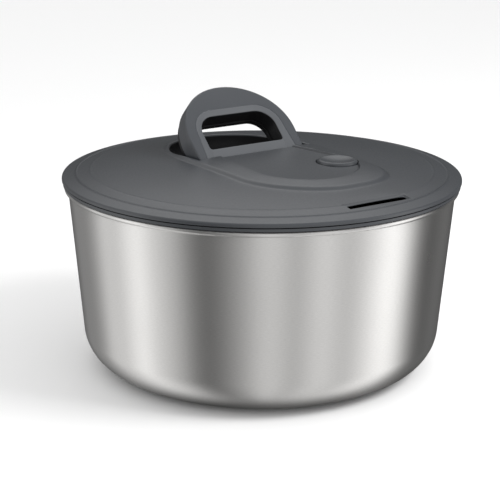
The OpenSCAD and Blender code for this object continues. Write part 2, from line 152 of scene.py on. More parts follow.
def resample(points, step):
    """A closed outline with points about one step apart."""
    p = np.vstack([points, points[:1]])
    length = np.hypot(*np.diff(p, axis=0).T)
    keep = np.concatenate([[True], length > 1e-6])
    p, along = p[keep], np.concatenate([[0], np.cumsum(length[length > 1e-6])])
    count = max(8, int(round(along[-1] / step)))
    t = np.linspace(0, along[-1], count, endpoint=False)
    return np.stack([np.interp(t, along, p[:, 0]), np.interp(t, along, p[:, 1])], 1)


def inset(points, d):
    """A counter-clockwise outline moved inwards by d, with mitred corners."""
    edge = np.roll(points, -1, 0) - points
    edge /= np.maximum(np.hypot(edge[:, 0], edge[:, 1]), 1e-9)[:, None]
    normal = np.stack([-edge[:, 1], edge[:, 0]], 1)
    both = normal + np.roll(normal, 1, 0)
    both /= np.maximum(np.sum(both * both, 1), 0.8)[:, None] / 2
    return points + both * d


def inside_distance(query, outline):
    """Signed distance of each query point to a closed outline, positive inside."""
    a, b = outline, np.roll(outline, -1, 0)
    best = np.full(len(query), 1e9)
    odd = np.zeros(len(query), bool)
    for (ax, ay), (bx, by) in zip(a, b):
        dx, dy = bx - ax, by - ay
        span = dx * dx + dy * dy
        if span < 1e-12:
            continue
        t = np.clip(((query[:, 0] - ax) * dx + (query[:, 1] - ay) * dy) / span, 0, 1)
        best = np.minimum(best, np.hypot(query[:, 0] - ax - t * dx, query[:, 1] - ay - t * dy))
        if ay != by:
            crosses = (ay > query[:, 1]) != (by > query[:, 1])
            x = ax + (query[:, 1] - ay) * dx / (by - ay)
            odd ^= crosses & (query[:, 0] < x)
    return np.where(odd, best, -best)


def triangulate(loops, points, keep):
    """Triangles over all loops and points; keep(centres) says which of them stay."""
    verts, edges = [], []
    for loop in loops:
        start = len(verts)
        verts += [Vector(p) for p in loop]
        edges += [(start + i, start + (i + 1) % len(loop)) for i in range(len(loop))]
    verts += [Vector(p) for p in points]
    out, _, faces, _, _, _ = delaunay_2d_cdt(verts, edges, [], 0, 1e-4)
    xy = np.array([tuple(v) for v in out])
    tri = np.array([f for f in faces if len(f) == 3])
    a, b, c = xy[tri[:, 0]], xy[tri[:, 1]], xy[tri[:, 2]]
    area = (b[:, 0] - a[:, 0]) * (c[:, 1] - a[:, 1]) - (c[:, 0] - a[:, 0]) * (b[:, 1] - a[:, 1])
    tri = np.where((area < 0)[:, None], tri[:, ::-1], tri)
    tri = tri[(np.abs(area) > 1e-7) & keep((a + b + c) / 3)]
    used = np.unique(tri)
    index = np.full(len(xy), -1)
    index[used] = np.arange(len(used))
    return xy[used], index[tri]


def slab(xy, tri, top, bottom, levels=1):
    """A closed solid over a flat triangulation, between two heights given at its points."""
    count = len(xy)
    verts = [np.column_stack([xy, top]), np.column_stack([xy, bottom])]
    faces = [tuple(t) for t in tri] + [tuple(t[::-1] + count) for t in tri]
    seen = {}
    for t in tri:
        for i in range(3):
            edge = (t[i], t[(i + 1) % 3])
            seen[(min(edge), max(edge))] = None if (min(edge), max(edge)) in seen else edge
    rim = [e for e in seen.values() if e is not None]
    nodes = sorted({i for e in rim for i in e})
    layer = [{i: i for i in nodes}]
    start = 2 * count
    for k in range(1, levels):
        share = k / levels
        layer.append({i: start + j for j, i in enumerate(nodes)})
        start += len(nodes)
        verts.append(np.column_stack([xy[nodes], top[nodes] * (1 - share) + bottom[nodes] * share]))
    layer.append({i: i + count for i in nodes})
    for a, b in rim:
        for k in range(levels):
            faces.append((layer[k][b], layer[k][a], layer[k + 1][a], layer[k + 1][b]))
    return np.vstack(verts), faces


def between(outer, hole):
    """A test for triangle centres that lie inside one outline and outside another."""
    def keep(c):
        return (inside_distance(c, outer) > 0) & (inside_distance(c, hole) < 0)

    return keep


def rounding(distance, r):
    """Drop of a surface that rounds over an edge with radius r, at a distance from that edge."""
    gap = np.clip(r - distance, 0, r)
    return r - np.sqrt(np.maximum(r * r - gap * gap, 0))


def round_steps(r, steps=5):
    """Distances from an edge at which a rounding of radius r wants points."""
    return [r * (1 - math.cos(a)) for a in np.linspace(0, math.pi / 2, steps + 1)]


def smoothstep(low, high, x):
    t = np.clip((x - low) / (high - low), 0, 1)
    return t * t * (3 - 2 * t)


# ---- The lid's surface -----------------------------------------------------------------------

DOME_Z, DOME_DROP, DOME_POWER, CREASE_R = 140.0, 6.1, 2.5, 113.0
SHOULDER_R, SHOULDER_Z, EDGE_Z = 122.5, 132.2, 130.2
LID_WALL = 2.1
EDGE_ROUND, EDGE_BAND = 1.4, 2.3
TOP_EDGE_R = LID_R - 0.8 * EDGE_ROUND
RING_LINES = ((CREASE_R, 0.14), (SHOULDER_R, 0.34))
RING_STEPS = (-1.0, -0.45, 0, 0.35, 0.75, 1.1, 1.55, 2.1)
RING_AWAY, RING_W = 0.75, 0.55

PLATEAU_HALF, PLATEAU_RISE, PLATEAU_EDGE_W = 51.5, 1.75, 4.4
CROWN_RISE, CROWN_FROM, CROWN_W = 0.85, 3.4, 12
PLATEAU_STEPS = (-0.6, 0, 0.5, 1.0, 1.5, 2.0, 2.5, 3.0, 3.5, 4.0, 4.5, 5.5)
PANEL_Z, PANEL_SLOPE = 141.6, 0.024
PANEL_GROOVE, PANEL_GROOVE_AT, PANEL_GROOVE_W = 0.35, 0.7, 0.3
PANEL_STEPS = (-0.9, -0.5, -0.25, 0.05, 0.35, 0.6, 0.85, 1.2, 1.7)

WING_X = -33.0
RECESS_HALF, RECESS_LIP_R, RECESS_FLOOR = 44.7, 1.4, 124.2
RECESS_FLOOR_WALL = 1.2
BUTTON_HOLE_R, BUTTON_LIP_R = 13.95, 0.7
CUP_TOP_Z, CUP_FLOOR_Z, CUP_WALL, CUP_HOLE_R = 139.0, 133.2, 1.4, 4.3

SLOT_X, SLOT_Y, SLOT_W, SLOT_LEN = 113.8, MIDDLE_Y + 1.9, 4.0, 46.0
RAMP_W, RAMP_DROP, RAMP_EDGE_W = 2.6, 0.9, 0.9
NEAR_LIP_DROP = 0.35
SLOT_LIP = 0.35
CLEAR_ROOM = 2.2

ASIDE = np.array([0, MIDDLE_Y])
PLATEAU = ASIDE + np.vstack([
    soft_arc(50, PLATEAU_HALF, 1.8, -90, 0, 40, 41),
    soft_arc(50, PLATEAU_HALF, 2.9, 0, 90, 40, 41),
    soft_arc(91, PLATEAU_HALF, 2.3, 90, 270, 120),
])
PANEL = ASIDE + np.vstack([
    soft_arc(35.5, 34, 2, -90, 0, 30, 38),
    soft_arc(35.5, 41, 2, 0, 90, 30, 38),
    [[AXLE[0] + HUB_R - 1, 30], [AXLE[0] + HUB_R - 1, -28.5]],
])
RECESS = ASIDE + np.vstack([
    soft_arc(49, RECESS_HALF, 2, 90, 270, 90, WING_X),
    [[AXLE[0] + HUB_R + 0.5, -RECESS_HALF], [AXLE[0] + HUB_R + 0.5, RECESS_HALF]],
])


def dome(r):
    """Height of the lid's smooth surface at a distance from its centre."""
    inner = DOME_Z - DOME_DROP * (np.minimum(r, CREASE_R) / CREASE_R) ** DOME_POWER
    outer = np.interp(r, [CREASE_R, SHOULDER_R, LID_R], [DOME_Z - DOME_DROP, SHOULDER_Z, EDGE_Z])
    return np.where(r < CREASE_R, inner, outer)


def ring_lines(r):
    """Two fine raised lines round the lid, just outside each crease."""
    return sum(lip * np.exp(-((r - line_r - RING_AWAY) / RING_W) ** 2) for line_r, lip in RING_LINES)


def circle(centre, r, step=1.2):
    """A round outline with points about one step apart."""
    count = max(24, int(2 * math.pi * r / step))
    t = np.linspace(0, 2 * math.pi, count, endpoint=False)
    return np.stack([centre[0] + r * np.cos(t), centre[1] + r * np.sin(t)], 1)


def slot_outline():
    """The pour slot, round at both ends."""
    half = (SLOT_LEN - SLOT_W) / 2
    ends = [SLOT_Y + half, SLOT_Y - half]
    arc = np.radians(np.linspace(0, 180, 9))
    top = np.stack([SLOT_X + SLOT_W / 2 * np.cos(arc), ends[0] + SLOT_W / 2 * np.sin(arc)], 1)
    low = np.stack([SLOT_X - SLOT_W / 2 * np.cos(arc), ends[1] - SLOT_W / 2 * np.sin(arc)], 1)
    return np.vstack([top, low])


def ramp_outline():
    """The shallow dip round the pour slot."""
    x0, x1 = SLOT_X - SLOT_W / 2 - RAMP_W, SLOT_X + SLOT_W / 2 + 1.6
    y0, y1 = SLOT_Y - SLOT_LEN / 2 - 1.0, SLOT_Y + SLOT_LEN / 2 + 1.0
    return np.array([[x0, y0], [x1, y0], [x1, y1], [x0, y1]], float)


def lid_height(xy):
    """Height of the lid's top at each point."""
    plateau = inside_distance(xy, PLATEAU)
    panel = inside_distance(xy, PANEL)
    recess = -inside_distance(xy, RECESS)
    step = PLATEAU_RISE * smoothstep(0, PLATEAU_EDGE_W, plateau)
    crown = CROWN_RISE * np.clip((plateau - CROWN_FROM) / CROWN_W, 0, 1)
    raised = step + crown
    sunk = smoothstep(-0.5, 0.6, panel)
    r = np.hypot(xy[:, 0], xy[:, 1])
    flat = PANEL_Z - PANEL_SLOPE * (xy[:, 0] - AXLE[0])
    z = (dome(r) + ring_lines(r) + raised) * (1 - sunk) + flat * sunk
    z -= PANEL_GROOVE * np.exp(-((panel - PANEL_GROOVE_AT) / PANEL_GROOVE_W) ** 2)
    z -= rounding(recess, RECESS_LIP_R)
    hole = np.hypot(xy[:, 0] - BUTTON[0], xy[:, 1] - BUTTON[1]) - BUTTON_HOLE_R
    z -= rounding(hole, BUTTON_LIP_R)
    ramp = inside_distance(xy, ramp_outline())
    along = np.clip((xy[:, 0] - (SLOT_X - SLOT_W / 2 - RAMP_W)) / RAMP_W, 0, 1)
    z -= (RAMP_DROP * along + NEAR_LIP_DROP * (xy[:, 0] > SLOT_X)) * smoothstep(0, RAMP_EDGE_W, ramp)
    return z


def lid_loops(recess, slot):
    """The outlines that the lid's triangles follow."""
    plateau = resample(PLATEAU, 2.0)
    panel = resample(PANEL, 1.8)
    ramp = ramp_outline()
    loops = [circle((0, 0), TOP_EDGE_R, 2.4)]
    loops += [circle((0, 0), line + step, 3.0) for line in (CREASE_R, SHOULDER_R) for step in RING_STEPS]
    loops += [inset(plateau, d) for d in PLATEAU_STEPS]
    loops += [inset(panel, d) for d in PANEL_STEPS]
    loops += [inset(recess, -d) for d in round_steps(RECESS_LIP_R) + [1.7, 2.2]]
    loops += [circle(BUTTON, BUTTON_HOLE_R + d) for d in round_steps(BUTTON_LIP_R, 4) + [1.1]]
    loops += [slot, ramp, inset(ramp, RAMP_EDGE_W), inset(ramp, RAMP_EDGE_W / 2)]
    return loops


def lid_filling():
    """Points between the outlines, clear of them."""
    points = np.vstack([circle((0, 0), r, 4.0) for r in np.arange(4, TOP_EDGE_R, 4.0)])
    gaps = [inside_distance(points, outline) for outline in (PLATEAU, PANEL, RECESS, ramp_outline())]
    gaps.append(np.hypot(*(points - BUTTON[:2]).T) - BUTTON_HOLE_R)
    return points[np.abs(gaps).min(0) > CLEAR_ROOM]


def gear_band():
    """The Y range that the sector gear swings through, with a little room."""
    low, high = box_mm("sector_gear")
    return low[1] - 0.6, high[1] + 0.6


def in_gear_way(xy):
    """Which points are in front of the axle, where the sector gear passes."""
    y0, y1 = gear_band()
    return (xy[:, 0] > AXLE[0]) & (xy[:, 1] > y0) & (xy[:, 1] < y1)


def lid_top_mesh():
    """The lid's top as a shell, with its holes for the lever, the button and the slot."""
    button = circle(BUTTON, BUTTON_HOLE_R)
    slot = slot_outline()
    recess = resample(RECESS, 1.6)

    def keep(c):
        in_hole = np.maximum.reduce([inside_distance(c, hole) for hole in (recess, button, slot)]) >= 0
        return ~in_hole & (np.hypot(c[:, 0], c[:, 1]) < TOP_EDGE_R)

    xy, tri = triangulate(lid_loops(recess, slot), lid_filling(), keep)
    top = lid_height(xy)
    bottom = dome(np.hypot(xy[:, 0], xy[:, 1])) - LID_WALL
    near_recess = (-inside_distance(xy, recess) < 1.65) & ~in_gear_way(xy)
    bottom = np.where(near_recess, RECESS_FLOOR - RECESS_FLOOR_WALL, bottom)
    thin = smoothstep(3.0, 1.5, -inside_distance(xy, slot))
    bottom = bottom * (1 - thin) + (top - SLOT_LIP) * thin
    return slab(xy, tri, top, bottom, levels=3)


def lid_rim_mesh():
    """The rounded edge band of the lid, and its step back to the groove above the pan's flange."""
    low = EDGE_Z - EDGE_BAND
    top = float(dome(np.array([TOP_EDGE_R]))[0])
    profile = [(TOP_EDGE_R, top)]
    profile += fillet((LID_R - EDGE_ROUND, top - 0.98 * EDGE_ROUND), EDGE_ROUND, 74, 0, 8)
    profile += [(LID_R, low + 0.3), (LID_R - 0.1, low + 0.08), (LID_R - 0.35, low), (LID_R - 2.3, low)]
    profile += [(LID_R - 2.6, low + 0.35), (LID_R - 8, low + 0.35), (LID_R - 8, low + 1.1)]
    profile += [(TOP_EDGE_R, top - 0.9)]
    return revolve(profile, FINE_TURN)


def scoop_inset(x):
    """How far the recess's wall leans in at its foot: more towards the lever's tip."""
    return 1.0 + 8.0 * smoothstep(-48, -76, x)


def recess_scoop_mesh():
    """The leaning wall of the recess, from just under its rounded lip to its floor."""
    rim = inset(resample(RECESS, 1.6), 0.05)
    inward = inset(rim, 1.0) - rim
    top = lid_height(inset(rim, -0.1)) - 0.3
    rows = []
    for share in np.linspace(0, 1, 9):
        lean = scoop_inset(rim[:, 0]) * (1 - math.cos(share * math.pi / 2))
        height = top + (RECESS_FLOOR - top) * math.sin(share * math.pi / 2)
        rows.append(np.column_stack([rim + inward * lean[:, None], height]))
    count = len(rim)
    faces = []
    open_way = in_gear_way(rim)
    for j in range(len(rows) - 1):
        for i in range(count):
            k = (i + 1) % count
            if not (open_way[i] or open_way[k]):
                faces.append((j * count + i, j * count + k, (j + 1) * count + k, (j + 1) * count + i))
    return np.vstack(rows), faces


def recess_floor_mesh():
    """Floor of the lever's recess, with the way through for the sector gear."""
    outline = inset(resample(RECESS, 1.6), 0.3)
    y0, y1 = gear_band()
    x0, x1 = AXLE[0] - 17, AXLE[0] + 5.4
    way = np.array([[x0, y0], [x1, y0], [x1, y1], [x0, y1]])
    points = np.array([(x, y) for x in range(-80, -12, 6) for y in range(-38, 45, 6)], float)
    xy, tri = triangulate([outline, way], points, between(outline, way))
    level = np.full(len(xy), RECESS_FLOOR)
    return slab(xy, tri, level, level - RECESS_FLOOR_WALL)


def button_cup_mesh():
    """The cup that the brake button sinks into, with the hole for its stem."""
    low, high = CUP_FLOOR_Z, CUP_FLOOR_Z + CUP_WALL
    inner, outer = BUTTON_HOLE_R, BUTTON_HOLE_R + 1.6
    profile = [(inner, CUP_TOP_Z), (inner, high), (CUP_HOLE_R, high), (CUP_HOLE_R, low), (outer, low)]
    profile += [(outer, CUP_TOP_Z)]
    return revolve(profile, 96, BUTTON[:2])


def build_lid():
    verts, faces = merge([lid_top_mesh(), lid_rim_mesh(), button_cup_mesh()])
    lid = make_object("lid_top", verts, faces, "lid", 32)
    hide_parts("lid_shell")
    return lid


def build_recess_floor():
    # The recess's wall and floor are painted black: painted shade for the dark inside the lever's recess.
    verts, faces = merge([recess_scoop_mesh(), recess_floor_mesh()])
    floor = make_object("lid_recess_painted_shade", verts, faces, "lid", 32)
    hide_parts("lid_shell")
    return floor


# ---- Lever -----------------------------------------------------------------------------------

# Lever outlines are drawn lying flat: u runs from the axle to the tip, v along the axle, w up.
LEVER_LEN, LEVER_HALF, LEG_HALF = 57.5, 43.0, 42.0
HOLE_FROM, HOLE_TO, HOLE_HALF, HOLE_R, HOLE_NEAR_R = 8.5, 34.0, 30.0, 13.0, 2.0
BEZEL_W, BEZEL_FLARE, BEZEL_DROP, FLARE_FROM = 4.6, 1.9, 1.2, 20
WING_DROP, WING_DROP_FROM, WING_DROP_LEN, WING_CROWN = 2.8, 22, 36.5, 0.3
SILL_DROP = 1.3
GROOVE_W, GROOVE_DEPTH = 0.35, 0.35
LEVER_EDGE_R, HOLE_EDGE_R = 0.9, 0.5
SEAM_W, SEAM_GAP = -6.8, 0.15
UNDER_FROM, UNDER_TO = 7.2, 43.0


def raise_lever(u, v, w):
    """Frame coordinates of lever points, with the lever standing up as it rests."""
    x, z = -u, w
    c, s = math.cos(LEVER_UP), math.sin(LEVER_UP)
    return np.column_stack([AXLE[0] + x * c + z * s, MIDDLE_Y + v, AXLE[2] - x * s + z * c])


def lever_outline():
    wing_u = AXLE[0] - WING_X
    oval = soft_arc(LEVER_LEN - wing_u, LEVER_HALF, 2, -90, 90, 90, wing_u)
    return resample(np.vstack([oval, [[-HUB_R, LEG_HALF], [-HUB_R, -LEG_HALF]]]), 1.5)


def mirrored(points):
    """The same stretch of outline on the axle's other side, in reverse."""
    return points[::-1] * [1, -1]


def hole_far_corner():
    """The finger hole's wide rounding at its far end."""
    t = np.radians(np.linspace(0, 90, 16))
    far, half = HOLE_TO - HOLE_R, HOLE_HALF - HOLE_R
    return np.stack([far + HOLE_R * np.cos(t), half + HOLE_R * np.sin(t)], 1)


def hole_near_corner():
    """The finger hole's small rounding beside the hinge."""
    t = np.radians(np.linspace(0, 90, 16))
    r = HOLE_NEAR_R
    return np.stack([HOLE_FROM + r - r * np.sin(t), HOLE_HALF - r + r * np.cos(t)], 1)


def frame_outline():
    """The finger hole's sides and far end, carried on down the legs past the hinge."""
    upper = hole_far_corner()
    foot = np.array([[-14, HOLE_HALF], [-14, -HOLE_HALF]])
    return resample(np.vstack([mirrored(upper), upper, foot]), 1.2)


def hole_outline():
    upper, corner = hole_far_corner(), hole_near_corner()
    return resample(np.vstack([mirrored(upper), upper, corner, mirrored(corner)]), 1.2)


LEVER_OUT = lever_outline()
LEVER_HOLE = hole_outline()
LEVER_FRAME = frame_outline()


def bezel_width(u):
    """Width of the frame round the finger hole, which widens down the legs."""
    return BEZEL_W + BEZEL_FLARE * np.clip((FLARE_FROM - u) / FLARE_FROM, 0, 1)


def frame_loop(share, extra=0.0):
    """The frame's outline grown by a share of the bezel's width, kept on the lever."""
    base = LEVER_FRAME
    grown = inset(base, -1.0) - base
    loop = base + grown * (share * bezel_width(base[:, 0]) + extra)[:, None]
    loop[:, 0] = np.maximum(loop[:, 0], -HUB_R + 0.3)
    return loop


def lever_top(uv):
    """Height w of the lever's upper side: wing, groove, sloped frame and sill."""
    u, v = uv[:, 0], uv[:, 1]
    away = -inside_distance(uv, LEVER_FRAME)
    width = bezel_width(u)
    w = HUB_R - WING_DROP * (np.maximum(u - WING_DROP_FROM, 0) / WING_DROP_LEN) ** 2
    w -= WING_CROWN * (v / LEVER_HALF) ** 2
    chamfer = np.clip(1 - away / width, 0, 1)
    sill = smoothstep(0.3, -0.1, away)
    w -= BEZEL_DROP * chamfer * (1 - sill) + SILL_DROP * sill
    w -= GROOVE_DEPTH * np.exp(-((away - width) / GROOVE_W) ** 2)
    w = np.where(u < 0, np.sqrt(np.maximum(HUB_R ** 2 - u ** 2, 0)) * w / HUB_R, w)
    w -= rounding(-inside_distance(uv, LEVER_HOLE), HOLE_EDGE_R)
    w -= np.where(u > -1, rounding(inside_distance(uv, LEVER_OUT), LEVER_EDGE_R), 0)
    return w


def lever_bottom(u):
    """Height w of the lever's lower side, from the hub to the tip."""
    return np.interp(u, [-HUB_R, 0, 5.4, 8.5, 34, 41, 49, LEVER_LEN + 1],
                     [0, -HUB_R, -HUB_R, HUB_R - 16.2, HUB_R - 16.2, HUB_R - 14, HUB_R - 9.5, HUB_R - 4.2])


def lever_region(outer, hole):
    """Triangles over the lever seen flat, fine along its edges, frame and groove."""
    loops = [inset(outer, d) for d in round_steps(LEVER_EDGE_R, 4) + [1.6, 4.0]]
    loops += [inset(hole, -d) for d in round_steps(HOLE_EDGE_R, 3)]
    rims = [frame_loop(share) for share in (0.35, 0.7, 1.0)]
    rims += [frame_loop(1.0, extra) for extra in (-0.8, -0.45, -0.2, 0.2, 0.45, 0.8)]
    rims += [frame_loop(0, extra) for extra in (-0.5, -0.1, 0.1, 0.3, 0.7)]
    rows = [np.linspace([u, -41], [u, 41], 60) for u in (-5.3, -4.8, -4.0, -3.0, -2.0, -1.0, 0.0)]
    grid = np.array([(u, v) for u in np.arange(2, 58, 2.4) for v in np.arange(-42, 43, 2.4)])
    points = np.vstack(rims + rows + [grid])
    room = np.minimum(inside_distance(points, outer), -inside_distance(points, hole))
    return triangulate(loops, points[room > 0.2], between(outer, hole))


def finish_lever(cover, verts, faces):
    """The lever's finishes: satin wing and a smoother frame round the finger hole, both painted lighter than the
    lid as painted light, and hole walls painted black as painted shade.
    """
    for finish in ("lever_grey", "frame_grey", "black_plastic"):
        cover.data.materials.append(MATERIALS[finish])
    corners = verts[np.array([f[:3] for f in faces])]
    normal = np.cross(corners[:, 1] - corners[:, 0], corners[:, 2] - corners[:, 0])
    steep = np.abs(normal[:, 2]) < 0.5 * np.linalg.norm(normal, axis=1)
    middles = corners.mean(1)
    # The finger hole's steep walls get the black finish: painted shade for the shadow inside the hole.
    hole_wall_painted_shade = steep & (np.abs(inside_distance(middles[:, :2], LEVER_HOLE)) < 0.3)
    away = -inside_distance(middles[:, :2], LEVER_FRAME)
    # The frame round the finger hole gets the lighter grey: painted light.
    frame_painted_light = away < bezel_width(middles[:, 0])
    for polygon, hole, framed in zip(cover.data.polygons, hole_wall_painted_shade, frame_painted_light):
        polygon.material_index = 2 if hole else int(framed)


def build_lever_cover():
    uv, tri = lever_region(LEVER_OUT, LEVER_HOLE)
    top = lever_top(uv)
    bottom = np.minimum(np.maximum(lever_bottom(uv[:, 0]), SEAM_W), top - 0.6)
    verts, faces = slab(uv, tri, top, bottom, levels=3)
    faces = [f[::-1] for f in faces]
    cover = make_object("lever_top_shell", raise_lever(*verts.T), faces, "lever", 40)
    finish_lever(cover, verts, faces)
    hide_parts("lever_cover")
    return cover


def underside_outlines():
    """Outer edge and finger hole of the lever's lower shell."""
    outer = inset(LEVER_OUT, 0.6)
    outer[:, 0] = np.clip(outer[:, 0], UNDER_FROM, UNDER_TO)
    hole = inset(LEVER_HOLE, 0.9)
    hole[:, 0] = np.where(hole[:, 0] < HOLE_FROM + 2, np.minimum(hole[:, 0], HOLE_FROM), hole[:, 0])
    return resample(outer, 1.5), resample(hole, 1.2)


def build_lever_underside():
    outer, hole = underside_outlines()
    steps = (0, 0.25, 0.8, 1.5)
    loops = [inset(outer, d) for d in steps] + [inset(hole, -d) for d in steps]
    grid = np.array([(u, v) for u in np.arange(9, 43, 3.2) for v in np.arange(-38, 39, 3.2)])
    room = np.minimum(inside_distance(grid, outer), -inside_distance(grid, hole))
    uv, tri = triangulate(loops, grid[room > 2.0], between(outer, hole))
    edge = np.minimum(inside_distance(uv, outer), -inside_distance(uv, hole))
    top = np.full(len(uv), SEAM_W - SEAM_GAP)
    bottom = np.minimum(lever_bottom(uv[:, 0]) + rounding(edge, 0.8), top - 0.3)
    verts, faces = slab(uv, tri, top, bottom, levels=2)
    faces = [f[::-1] for f in faces]
    under = make_object("lever_bottom_shell", raise_lever(*verts.T), faces, "lever", 40)
    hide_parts("lever_underside")
    return under


# ---- Bowl, button ----------------------------------------------------------------------------

WALL_FOOT_R, WALL_FLARE, STEEL_T, CORNER_R = 118.2, 0.0851, 1.0, 27.2
SOLE_Z, NECK_DROP = 0.8, 4.3
BEAD_R, BEAD_OUT = 1.7, 0.5


def wall_r(z):
    """Outer radius of the bowl's straight wall at a height."""
    return WALL_FOOT_R + WALL_FLARE * z


def bowl_profile():
    """The bowl's half section: underside, corner, wall and bead, then the inside back down."""
    tilt = math.atan(WALL_FLARE)
    cz = SOLE_Z + CORNER_R
    corner = (wall_r(cz) - CORNER_R / math.cos(tilt), cz)
    end = -math.degrees(tilt)
    neck_z = BOWL_TOP - NECK_DROP
    neck_r = wall_r(neck_z)
    outer = [(88.4, 2.6), (89.0, 2.35), (89.7, 1.2), (90.6, SOLE_Z)]
    outer += fillet(corner, CORNER_R, -90, end, 28)
    outer += [(wall_r(z), z) for z in np.linspace(cz + 8, neck_z, 12)]
    outer += [(neck_r + 0.06, neck_z + 0.5), (neck_r + 0.2, neck_z + 0.85)]
    outer += fillet((wall_r(BOWL_TOP) + BEAD_OUT, BOWL_TOP - BEAD_R), BEAD_R, -80, 180, 20)
    inner = [(neck_r - STEEL_T, neck_z)]
    inner += [(wall_r(z) - STEEL_T, z) for z in np.linspace(neck_z - 2, cz + 8, 12)]
    inner += fillet(corner, CORNER_R - STEEL_T, end, -90, 28)
    inner += [(90.4, 1.8), (89.2, 3.3), (88.2, 3.6)]
    return outer + inner


def build_bowl():
    profile = bowl_profile()
    verts, faces = revolve(profile, FINE_TURN, closed=False)
    count = len(profile)
    under = list(range(0, FINE_TURN * count, count))
    inside = [i + count - 1 for i in under]
    bowl = make_object("bowl_steel", verts, faces + [tuple(under[::-1]), tuple(inside)], "bowl_body", 30)
    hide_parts("bowl")
    return bowl


BUTTON_EDGE_R, BUTTON_DISH, BUTTON_SKIRT_Z = 2.2, 1.4, 138.4
STEM_R = 3.95


def build_button():
    low, high = box_mm("brake_button")
    top = high[2] - 0.2
    skirt = min(BUTTON_SKIRT_Z, top - 3.4)
    r = (high[0] - low[0]) / 2
    dish_r = r - 2.7
    profile = [(x, top - 1.5 + BUTTON_DISH * (x / dish_r) ** 2) for x in np.linspace(0.01, dish_r, 12)]
    profile += fillet((r - BUTTON_EDGE_R, top - BUTTON_EDGE_R), BUTTON_EDGE_R, 96, 0, 10)
    profile += [(r, skirt), (r - 1.4, skirt), (r - 1.4, top - 2.9), (6, top - 2.9)]
    profile += [(STEM_R, top - 3.2), (STEM_R, low[2]), (0.01, low[2])]
    verts, faces = revolve(profile, 96, BUTTON[:2])
    button = make_object("button_cap", verts, faces, "brake", 40)
    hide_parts("brake_button")
    return button


# ---- Springs ---------------------------------------------------------------------------------

def coil_mesh(r, wire, z0, z1, turns, per_turn=24, sides=8):
    """A round-wire helix about the Z axis, with its ends closed."""
    count = int(turns * per_turn) + 1
    t = np.linspace(0, turns * 2 * math.pi, count)
    z = np.linspace(z0 + wire, z1 - wire, count)
    verts = []
    for a, h in zip(t, z):
        radial = np.array([math.cos(a), math.sin(a), 0])
        for b in np.linspace(0, 2 * math.pi, sides, endpoint=False):
            verts.append(radial * (r + wire * math.cos(b)) + np.array([0, 0, h + wire * math.sin(b)]))
    faces = []
    for i in range(count - 1):
        for j in range(sides):
            k = (j + 1) % sides
            faces.append((i * sides + j, (i + 1) * sides + j, (i + 1) * sides + k, i * sides + k))
    faces += [tuple(range(sides)), tuple(range((count - 1) * sides, count * sides))[::-1]]
    return np.array(verts), faces


BRAKE_COIL_R, BRAKE_WIRE_R, BRAKE_TURNS = 8.0, 0.45, 3.5


def build_brake_spring():
    """The brake's coil, which keeps its top under the button and rides on the brake's body with it."""
    low, high = box_mm("brake_spring")
    verts, faces = coil_mesh(BRAKE_COIL_R, BRAKE_WIRE_R, low[2], high[2], BRAKE_TURNS)
    verts[:, :2] += BUTTON[:2]
    spring = make_object("brake_coil", verts, faces, "brake", 60)
    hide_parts("brake_spring")
    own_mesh(spring)
    return spring


# ---- Materials -------------------------------------------------------------------------------

BUMP_DEPTH = 0.0002
STEEL, STEEL_DARK, STEEL_LIGHT = (0.60, 0.59, 0.575), (0.56, 0.552, 0.54), (0.66, 0.652, 0.64)
BRUSH_STRETCH, BRUSH_SCALE = 0.02, 2600


def new_material(name, color, roughness, metallic=0.0):
    material = bpy.data.materials.new(name)
    material.use_nodes = True
    tree = material.node_tree
    shader = tree.nodes["Principled BSDF"]
    shader.inputs["Base Color"].default_value = (*color, 1)
    shader.inputs["Roughness"].default_value = roughness
    shader.inputs["Metallic"].default_value = metallic
    return material, tree, shader


def object_coords(tree):
    return tree.nodes.new("ShaderNodeTexCoord").outputs["Object"]


def math_node(tree, operation, *values):
    """A math node's output; each value is a number or another node's output."""
    node = tree.nodes.new("ShaderNodeMath")
    node.operation = operation
    for socket, value in zip(node.inputs, values):
        if isinstance(value, (int, float)):
            socket.default_value = value
        else:
            tree.links.new(value, socket)
    return node.outputs[0]


def noise(tree, vector, scale, detail=4.0, roughness=0.55):
    node = tree.nodes.new("ShaderNodeTexNoise")
    node.inputs["Scale"].default_value = scale
    node.inputs["Detail"].default_value = detail
    node.inputs["Roughness"].default_value = roughness
    tree.links.new(vector, node.inputs["Vector"])
    return node.outputs["Fac"]


def span(tree, value, low, high, to_low, to_high):
    """A value's range from low to high, mapped to another range and held at its ends."""
    node = tree.nodes.new("ShaderNodeMapRange")
    for name, number in (("From Min", low), ("From Max", high), ("To Min", to_low), ("To Max", to_high)):
        node.inputs[name].default_value = number
    tree.links.new(value, node.inputs["Value"])
    return node.outputs["Result"]


def middle_span(tree, value, to_low, to_high):
    """The middle stretch of a noise, where nearly all of it lies, mapped to a range."""
    return span(tree, value, 0.3, 0.7, to_low, to_high)


def mix_color(tree, factor, a, b):
    node = tree.nodes.new("ShaderNodeMix")
    node.data_type = "RGBA"
    node.inputs["A"].default_value = (*a, 1)
    node.inputs["B"].default_value = (*b, 1)
    tree.links.new(factor, node.inputs["Factor"])
    return node.outputs["Result"]


def add_bump(tree, shader, height, strength):
    bump = tree.nodes.new("ShaderNodeBump")
    bump.inputs["Strength"].default_value = strength
    bump.inputs["Distance"].default_value = BUMP_DEPTH
    tree.links.new(height, bump.inputs["Height"])
    tree.links.new(bump.outputs["Normal"], shader.inputs["Normal"])


